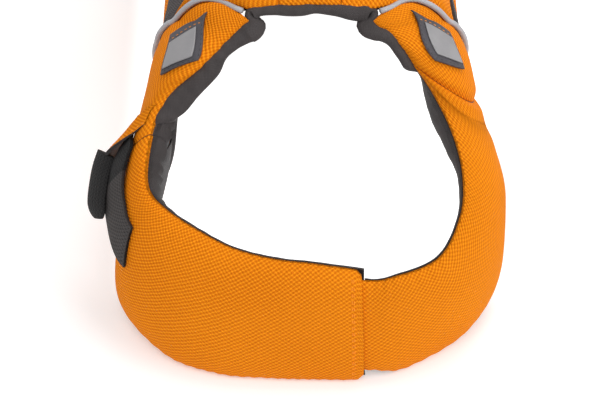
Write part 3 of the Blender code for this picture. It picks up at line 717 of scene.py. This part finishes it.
def make_neck_edge():
    """Lining rolled round the neck from shoulder to shoulder, gathered in small uneven puckers."""
    left = -np.concatenate((np.linspace(102, 150, 14), (152.5, 153.9)))
    right = np.concatenate(((153.9, 152.5), np.linspace(150, 121, 9)))
    top = np.array((-0.1, -0.05, 0.0, 0.05, 0.1))
    rim = np.vstack((collar_mid(left, np.abs(left) > 153.0), body_mid(np.full(5, FRONT), top),
                     collar_mid(right, right > 153.0)))
    rim = smooth_path(rim, ROLL_STEPS)
    share = np.linspace(0, 1, ROLL_STEPS)
    wide = through(ROLL[:, 0], ROLL[:, 1:], share)[:, 0]
    inward = direction(NECK_MIDDLE - rim)
    along = direction(np.gradient(rim, axis=0))
    inward = direction(inward - along * (inward * along).sum(axis=1, keepdims=True))
    up = np.cross(inward, along)
    up *= np.sign(up[:, 2:3])
    turn = np.arange(28) * 2 * math.pi / 28
    loops = []
    squared = np.sign(np.sin(turn)) * np.abs(np.sin(turn)) ** 0.8
    for k in range(ROLL_STEPS):
        taper = math.sqrt(smooth(min(share[k], 1 - share[k]) / 0.035) + 0.02)
        ripple = np.sin(k * 0.30 + 1.4 * math.sin(k * 0.11) + 1.5 * np.cos(turn))
        ripple += 0.7 * math.sin(k * 0.57 + 0.6)
        half = wide[k] / 2
        uneven = 1 + 0.05 * math.sin(k * 0.23 + 2.0 * math.sin(k * 0.07))
        over = half - ROLL_TUCK + half * np.cos(turn) * uneven
        high = (ROLL_THICK * squared + 0.22 * ripple) * taper
        loops.append(rim[k] + over[:, None] * taper * inward[k] + (high - ROLL_SINK)[:, None] * up[k])
    item = closed_skin("neck_edge_cloth", loops, LINING, ["neck_edge"])


LABELS = {"left": ((-139.2, 0.57), (-149.1, 0.48), (-134.6, 0.065), (-127.4, 0.31)),
          "right": ((141.3, 0.58), (149.7, 0.50), (133.8, 0.205), (133.3, 0.475))}
LABEL_SIDE_BOW = {"left": 0.09, "right": 0.135}     # how far the inner side bows to the neck
LABEL_TOP_BOW = 0.05
LABEL_LIFT, LABEL_THICK = 0.9, 1.2
PATCH_THICK = 0.6
PATCH_DOWN, PATCH_OVER = (0.27, 0.88), (0.07, 0.80)     # where the patch lies on its label


def label_places(word, v, w):
    """Collar places on a four-cornered label: v runs down its length, w over its width."""
    upper_out, upper_in, lower_in, lower_out = np.array(LABELS[word], float)
    v, w = np.asarray(v, float), np.asarray(w, float)
    start = upper_out + (lower_out - upper_out) * v[:, None]
    end = upper_in + (lower_in - upper_in) * v[:, None]
    spots = start + (end - start) * w[:, None]
    bow = LABEL_SIDE_BOW[word] * 4 * v * (1 - v) * w + LABEL_TOP_BOW * 4 * w * (1 - w) * (1 - v)
    return spots[:, 0], spots[:, 1] - bow


def label_sheet(word, down, over, lift, thick, count=24):
    rows = []
    for v in np.linspace(*down, count):
        clocks, across = label_places(word, np.full(count, v), np.linspace(*over, count))
        rows.append((clocks, across, pad_face(clocks, across) + lift))
    return band(COLLAR_SURFACE, rows, thick)


def make_labels():
    for word in LABELS:
        item = closed_skin("label_%s_cloth" % word,
                           label_sheet(word, (0, 1), (0, 1), LABEL_LIFT, LABEL_THICK), LABEL,
                           ["label_" + word])
        lift = LABEL_LIFT + LABEL_THICK + 0.3
        item = closed_skin("patch_%s_cloth" % word,
                           label_sheet(word, PATCH_DOWN, PATCH_OVER, lift, PATCH_THICK), PATCH,
                           ["patch_" + word])
        edge = np.linspace(0.06, 0.94, 30)
        for k, (v, w) in enumerate(((np.full(30, 0.16), edge), (edge, np.full(30, 0.035)),
                                    (np.full(30, 0.95), edge), (edge, np.full(30, 0.96)))):
            clocks, across = label_places(word, v, w)
            top = pad_face(clocks, across) + LABEL_LIFT + LABEL_THICK
            line, out = line_on(COLLAR_SURFACE, clocks, across, top)
            stitches("label_%s_stitch_%d" % (word, k), line, out, ORANGE_THREAD if k == 0 else DARK_THREAD,
                     length=2.0, gap=0.8, radius=0.25)


# Neck strap, a row for each place along it: clock, across and stand of its two edges
NECK_STRAP = np.array((
    (-66.0, 0.20, 0.6, -60.5, 0.44, 0.6),
    (-70.0, 0.20, 0.8, -64.0, 0.46, 1.6),
    (-75.0, 0.18, 1.0, -69.0, 0.46, 3.6),
    (-81.0, 0.17, 1.4, -75.0, 0.44, 5.6),
    (-87.0, 0.16, 1.8, -82.0, 0.42, 6.8),
    (-92.0, 0.14, 1.4, -89.5, 0.40, 6.6),
    (-96.5, 0.13, 1.0, -96.5, 0.38, 4.6),
    (-100.5, 0.20, 0.7, -101.5, 0.42, 2.6),
    (-104.5, 0.28, 0.4, -105.5, 0.44, 0.8)))
# painted shade: the strap's rows from STRAP_SHADED on take the near-black webbing, for the flap's shadow
STRAP_SHADED = 30        # the strap's rows from here on are dark, deep under the flap
STRAP_THICK, STRAP_POINTS = 1.6, 15
TAIL = ((-111.5, 84.5, 93), (-114.5, 78.5, 87), (-116.5, 71.5, 80), (-117.5, 65, 73), (-116.5, 60, 67))
TAIL_HALF_WIDTH, TAIL_HALF_THICK = 8.0, 2.56
TAIL_END, TAIL_STEPS = 30, 40       # steps along the folded end, and where its end starts to round
# Flap: how far its edge stands off, its thickness, its length at its inner and outer side
FLAP_SPREAD, FLAP_THICK, FLAP_LONG = 10.0, 1.8, (8.5, 17.5)
FLAP_SEWN = -111.0       # clock where the flap is sewn on


def make_neck_strap():
    """Flap of the left shoulder, the strap that comes out below it, and the strap's folded end."""
    rows = []
    shares = np.linspace(0, 1, 40)
    for part in np.linspace(0, 1, 34):
        clocks = FLAP_SEWN + (FLAP_LONG[0] + (FLAP_LONG[1] - FLAP_LONG[0]) * smooth(shares / 0.7)) * part
        across = 0.05 + 0.61 * shares
        open_side = smooth((shares - 0.08) / 0.5) * (1 - 0.4 * smooth((shares - 0.7) / 0.3))
        stand = FLAP_SPREAD * part ** 1.4 * open_side
        rows.append((clocks, across, pad_face(clocks, across) - 0.2 + 0.9 * smooth(part / 0.3) + stand))
    thick = 0.4 + (FLAP_THICK - 0.4) * smooth(shares / 0.3)
    item = closed_skin("neck_flap_cloth", band(COLLAR_SURFACE, rows, thick), ORANGE, ["neck_flap"],
                       (LINING, 40))
    clocks, across, lifts = (np.asarray(x) for x in rows[-5])
    line, out = line_on(COLLAR_SURFACE, clocks, across, lifts + thick)
    stitches("neck_flap_stitch", line, out, ORANGE_THREAD)
    knots = np.linspace(0, 1, len(NECK_STRAP))
    fine = through(knots, NECK_STRAP, np.linspace(0, 1, 60))
    rows = []
    for row in fine:
        clocks, across, stand = (np.linspace(row[k], row[k + 3], STRAP_POINTS) for k in range(3))
        rows.append((clocks, across, pad_face(clocks, across) + stand))
    item = closed_skin("neck_strap_web", band(COLLAR_SURFACE, rows, STRAP_THICK), WEBBING, ["neck_strap"])
    # painted shade: the rows deep under the flap are drawn in near-black webbing
    item.data.materials.append(PAINTED_SHADE_WEBBING)
    for polygon in item.data.polygons:
        polygon.material_index = int(polygon.index // (2 * STRAP_POINTS) >= STRAP_SHADED)
    clocks, across, stand = rows[3]
    line, out = line_on(COLLAR_SURFACE, clocks, across, stand + STRAP_THICK)
    stitches("neck_strap_stitch", line, out, DARK_THREAD, length=2.0, gap=0.6)
    path = smooth_path(TAIL, TAIL_STEPS)
    loops = sweep_loops(path, (-0.75, -0.45, 0.45), oval_section(TAIL_HALF_WIDTH, TAIL_HALF_THICK, 24))
    for k in range(TAIL_END + 1, TAIL_STEPS):
        round_end = math.sqrt(1 - ((k - TAIL_END) / (TAIL_STEPS - TAIL_END + 0.5)) ** 2)
        loops[k] = path[k] + (loops[k] - path[k]) * round_end
    # painted shade: the folded end is drawn in near-black webbing, as cloth in shade
    closed_skin("strap_tail_web", loops, PAINTED_SHADE_WEBBING, ["strap_tail"])


# ---------------------------------------------------------------- body

BACK_HALF, SIDE_HALF = 5.0, 4.5     # half thickness of the back and side pads
CENTRE_EDGE, BACK_EDGE, SIDE_EDGE, SEAM = 0.085, 0.56, 0.62, 0.0011
BODY_ENDS = (0.25, 0.4)     # how full the pads are at their front and rear edges
GUSSET_RISE, GUSSET_LIFT = {"left": 0.16, "right": 0.03}, 2.2     # the strips' widening and lift in front
GUSSET_THICK = 2.0


def make_body():
    stations = np.concatenate((np.linspace(FRONT, FRONT + 14, 16), np.linspace(FRONT + 18, REAR - 12, 90),
                               np.linspace(REAR - 10, REAR, 10)))
    pad("back_centre_cloth", BODY_SURFACE, stations, -CENTRE_EDGE + SEAM, CENTRE_EDGE - SEAM, BACK_HALF,
        ORANGE, ["back_centre"], ends=BODY_ENDS, pucker=0.15)
    for across in (-0.06, 0.06):
        lift = BACK_HALF * 0.93
        line, out = line_on(BODY_SURFACE, np.linspace(FRONT + 6, REAR - 6, 120), across, lift)
        stitches("back_centre_stitch_%s" % ("left" if across < 0 else "right"), line, out, ORANGE_THREAD)
    for side, word in ((-1, "left"), (1, "right")):
        def gusset_edge(station, side=side, rise=GUSSET_RISE[word]):
            widened = smooth((station - FRONT + 5) / 14) * (1 - smooth((station - 150) / 120))
            return side * (BACK_EDGE - rise * widened)

        inner, outer = side * (CENTRE_EDGE + SEAM), (lambda s: gusset_edge(s) - side * SEAM)
        low, high = (outer, inner) if side < 0 else (inner, outer)
        pad("back_%s_cloth" % word, BODY_SURFACE, stations, low, high, BACK_HALF, ORANGE, ["back_" + word],
            ends=BODY_ENDS, pucker=0.2, quilts=(0.33, 0.66))
        low, high = sorted((side * (SIDE_EDGE + SEAM), side * (1.0 - SEAM)))
        pad("side_%s_cloth" % word, BODY_SURFACE, stations, low, high, SIDE_HALF, ORANGE, ["side_" + word],
            ends=BODY_ENDS, pucker=0.2)
        shares = np.linspace(0, 1, 25) if side > 0 else np.linspace(1, 0, 25)
        rows = []
        for station in stations:
            start, stop = gusset_edge(station) + side * SEAM, side * (SIDE_EDGE - SEAM)
            lifts = 0.25 * math.sin(station * 0.9) * np.sin(math.pi * shares) - 1.0
            lifts += GUSSET_LIFT * (1 - smooth((station - 150) / 60))
            rows.append((np.full(25, station), start + (stop - start) * shares, lifts))
        item = closed_skin("gusset_%s_cloth" % word, band(BODY_SURFACE, rows, GUSSET_THICK), STRETCH,
                           ["gusset_" + word])


BELLY_FRONT, BELLY_REAR, BELLY_HALF_WIDTH, BELLY_THICK = 284.0, 404.0, 52.0, 9.0
BELLY_CHANNELS = (324.0, 364.0)
STRAP_WIDTH, WEB_THICK = 20.0, 1.6
BELLY_STRAPS = {"front": 308.0, "rear": 372.0}


def make_belly():
    """Flat-bottomed padded panel with rounded edges and two sewn channels across it."""
    loops = []
    for y in np.linspace(BELLY_FRONT, BELLY_REAR, 80):
        near = min(y - BELLY_FRONT, BELLY_REAR - y)
        full = 0.45 + 0.55 * math.sqrt(smooth(near / 12.0))
        half = BELLY_HALF_WIDTH - 5.0 * (1 - math.sqrt(smooth(near / 8.0 + 0.02)))
        quilt = 1 - 0.22 * sum(math.exp(-((y - spot) / 1.6) ** 2) for spot in BELLY_CHANNELS)
        middle = 0.5 * BELLY_THICK * full
        top = BELLY_THICK * full * quilt
        x = half * np.sin(np.linspace(-math.pi / 2, math.pi / 2, 41))
        crown = np.sqrt(np.clip(1 - np.abs(x / half) ** 6, 0.02, 1))
        upper = np.stack((x, np.full(41, y), middle + (top - middle) * crown), axis=1)
        lower = np.stack((x, np.full(41, y), middle * (1 - crown)), axis=1)
        loops.append(np.vstack((upper, lower[::-1])))
    closed_skin("belly_panel_cloth", loops, ORANGE, ["belly_panel"])


def side_run(y, side):
    """Where a belly strap lies on the side pad, and its sewn end at the belly panel."""
    across = side * np.linspace(0.80, 1.0, 5)
    stand = np.array((SIDE_HALF, SIDE_HALF, SIDE_HALF, SIDE_HALF, SIDE_HALF - 0.6)) + 1.5
    return place(BODY_SURFACE, np.full(5, y), across, stand), (side * (BELLY_HALF_WIDTH + 0.3), y, 4.6)


def web(name, path, out, node, count=50, width=STRAP_WIDTH, thick=WEB_THICK, curved=True):
    """A length of webbing along a path."""
    path = smooth_path(path, count) if curved else even_steps(np.asarray(path, float), count)
    closed_skin(name, sweep_loops(path, out, web_section(width, thick)), WEBBING, [node])


def make_belly_straps():
    for word, y in BELLY_STRAPS.items():
        upper, edge = side_run(y, -1)
        path = np.vstack((upper, [(-79, y, 29), (-70, y, 15), (-60, y, 7), edge]))
        web("belly_strap_left_%s_web" % word, path, (-0.9, 0.0, -0.3), "belly_strap_left_" + word)
        upper, edge = side_run(y, 1)
        top = upper[-1] + (0.0, 0.0, -5.0)
        foot = np.array((63.0, y, 9.0))
        line = direction(foot - top)
        path = np.vstack((upper, [top - line * 3, top - line * 0.3]))
        web("belly_strap_upper_%s_web" % word, path, (0.9, 0.0, -0.3), "belly_strap_upper_" + word,
            curved=False)
        path = [foot + line * 0.3, foot + line * 2, (58, y, 6.0), edge]
        web("belly_strap_lower_%s_web" % word, path, (0.5, 0.0, -0.9), "belly_strap_lower_" + word,
            curved=False)
        for side in (-1, 1):
            run = place(BODY_SURFACE, np.full(20, y), side * np.linspace(0.805, 0.87, 20), SIDE_HALF + 2.3)
            out = (side * 1.0, 0.0, 0.1)
            for k, shift in enumerate((-7.5, 7.5)):
                stitches("strap_stitch_%s_%s_%d" % (word, "left" if side < 0 else "right", k),
                         run + (0.0, shift, 0.0), out, DARK_THREAD, length=2.2, gap=0.8)


def make_buckles():
    for word in BELLY_STRAPS:
        for half in ("plug", "socket"):
            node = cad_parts["buckle_%s_%s" % (half, word)]
            node.data.materials.clear()
            node.data.materials.append(BUCKLE)


HANDLE_FRONT, HANDLE_REAR, HANDLE_RISE, HANDLE_WIDTH = 205.0, 315.0, 30.0, 24.0
HANDLE_SEWN = 0.16      # share of the handle's length that is sewn flat at each end
WEB_BESIDE_GRIP = 0.004 # share of the length left free beside the grip
GRIP = (0.34, 0.66)
GRIP_HALF_WIDTH, GRIP_HALF_THICK = 11.5, 4.5


def handle_point(share):
    """Middle of the handle at shares of its length, flat at its sewn ends and arched between them."""
    y = HANDLE_FRONT + (HANDLE_REAR - HANDLE_FRONT) * share
    rise = np.clip((np.minimum(share, 1 - share) - HANDLE_SEWN) / (0.5 - HANDLE_SEWN), 0, 1)
    base = place(BODY_SURFACE, y, np.zeros_like(share), BACK_HALF + 1.6)
    base[:, 2] += HANDLE_RISE * np.sin(rise * math.pi / 2) ** 1.3
    return base


def make_handle():
    for name, low, high in (("handle_front", 0.0, GRIP[0] - WEB_BESIDE_GRIP),
                            ("handle_rear", GRIP[1] + WEB_BESIDE_GRIP, 1.0)):
        web(name + "_web", handle_point(np.linspace(low, high, 30)), (0.0, 0.0, 1.0), name, 40,
            HANDLE_WIDTH, 1.8, False)
    path = handle_point(np.linspace(GRIP[0], GRIP[1], 50))
    loops = sweep_loops(path, (0.0, 0.0, 1.0), oval_section(GRIP_HALF_WIDTH, GRIP_HALF_THICK, 32))
    closed_skin("handle_grip_cloth", loops, WEBBING, ["handle_grip"])
    for name, low, high in (("front", 0.03, 0.15), ("rear", 0.85, 0.97)):
        path = handle_point(np.linspace(low, high, 20))
        for k, shift in enumerate((-9.0, 9.0)):
            stitches("handle_stitch_%s_%d" % (name, k), path + (shift, 0.0, 1.0), (0.0, 0.0, 1.0),
                     DARK_THREAD, length=2.2, gap=0.8)


# ---------------------------------------------------------------- floor, light, camera

FLOOR_SIZE = 3.0
# painted light: a patch of floor under the torso glows more, so the jacket's shade on the floor there does
# not show
OPENING_X, OPENING_Y = (0.09, 0.12), (-0.30, -0.27, 0.0, 0.03)     # brighter floor under the torso
FLOOR_GLOW, OPENING_GLOW = 0.25, 0.75


def ramp(tree, coordinate, low, high):
    """A smooth step from 0 to 1 as the coordinate goes from low to high."""
    node = tree.nodes.new("ShaderNodeMapRange")
    node.interpolation_type = "SMOOTHSTEP"
    tree.links.new(coordinate, node.inputs["Value"])
    node.inputs["From Min"].default_value, node.inputs["From Max"].default_value = low, high
    return node.outputs["Result"]


def make_stage():
    """White floor; the patch under the torso glows a little more, painted light that takes the jacket's
    shade off the floor there.
    """
    low, high = -FLOOR_SIZE, FLOOR_SIZE
    corners = [(x, y, CAD_BOX[0][2]) for x, y in ((low, low), (high, low), (high, high), (low, high))]
    mesh = bpy.data.meshes.new("floor")
    mesh.from_pydata(corners, [], [(0, 1, 2, 3)])
    made, tree, shader = new_material("white_floor", (0.9, 0.9, 0.9), 0.9, 0.0)
    shader.inputs["Emission Color"].default_value = (1.0, 1.0, 1.0, 1.0)
    spot = tree.nodes.new("ShaderNodeTexCoord")
    split = tree.nodes.new("ShaderNodeSeparateXYZ")
    tree.links.new(spot.outputs["Object"], split.inputs[0])
    off_centre = maths(tree, "ABSOLUTE", split.outputs[0])
    beside = maths(tree, "SUBTRACT", 1.0, ramp(tree, off_centre, *OPENING_X))
    behind = ramp(tree, split.outputs[1], *OPENING_Y[:2])
    before = maths(tree, "SUBTRACT", 1.0, ramp(tree, split.outputs[1], *OPENING_Y[2:]))
    inside = maths(tree, "MULTIPLY", maths(tree, "MULTIPLY", behind, before), beside)
    glow = maths(tree, "ADD", maths(tree, "MULTIPLY", inside, OPENING_GLOW), FLOOR_GLOW)
    tree.links.new(glow, shader.inputs["Emission Strength"])
    mesh.materials.append(made)
    floor = bpy.data.objects.new("floor", mesh)
    bpy.context.scene.collection.objects.link(floor)


def area_light(name, location, target, size, power):
    data = bpy.data.lights.new(name, "AREA")
    data.shape = "DISK"
    data.size = size
    data.energy = power
    item = bpy.data.objects.new(name, data)
    item.location = location
    aim = np.array(target, float) - np.array(location, float)
    item.rotation_euler = look_along(aim)
    bpy.context.scene.collection.objects.link(item)


def look_along(aim):
    """Rotation of a lamp or camera, level, that looks along aim."""
    flat = math.hypot(aim[0], aim[1])
    return (math.pi / 2 + math.atan2(aim[2], flat), 0.0, math.atan2(-aim[0], aim[1]))


CHEST, SHOULDERS = (0, -0.25, 0.05), (0, -0.2, 0.05)     # what the lamps are aimed at


def make_light():
    world = bpy.data.worlds.new("studio")
    bpy.context.scene.world = world
    world.use_nodes = True
    world.node_tree.nodes["Background"].inputs[0].default_value = (1.0, 1.0, 1.0, 1.0)
    world.node_tree.nodes["Background"].inputs[1].default_value = 0.55
    area_light("key", (-0.1, -0.9, 1.6), CHEST, 0.9, 6.5)
    area_light("top", (0.3, 0.3, 1.5), SHOULDERS, 0.8, 7.5)
    area_light("fill", (1.0, -0.7, 0.8), CHEST, 0.8, 4.5)


CAMERA_AIM = (-0.006, -0.274, 0.0704)
CAMERA_ELEVATION = math.radians(52)
CAMERA_DISTANCE = 1.0
CAMERA_LENS = 109.0


def make_camera():
    data = bpy.data.cameras.new("camera")
    data.lens = CAMERA_LENS
    data.clip_start = 0.01
    item = bpy.data.objects.new("camera", data)
    back = np.array((0.0, -math.cos(CAMERA_ELEVATION), math.sin(CAMERA_ELEVATION))) * CAMERA_DISTANCE
    item.location = np.array(CAMERA_AIM) + back
    item.rotation_euler = look_along(-back)
    bpy.context.scene.collection.objects.link(item)
    bpy.context.scene.camera = item


make_camera()
make_sleeve()
make_tube()
make_shoulders()
make_linings()
make_piping()
make_neck_edge()
make_labels()
make_neck_strap()
make_body()
make_belly()
make_belly_straps()
make_buckles()
make_handle()
make_stage()
make_light()
bpy.context.scene.view_settings.view_transform = "Standard"
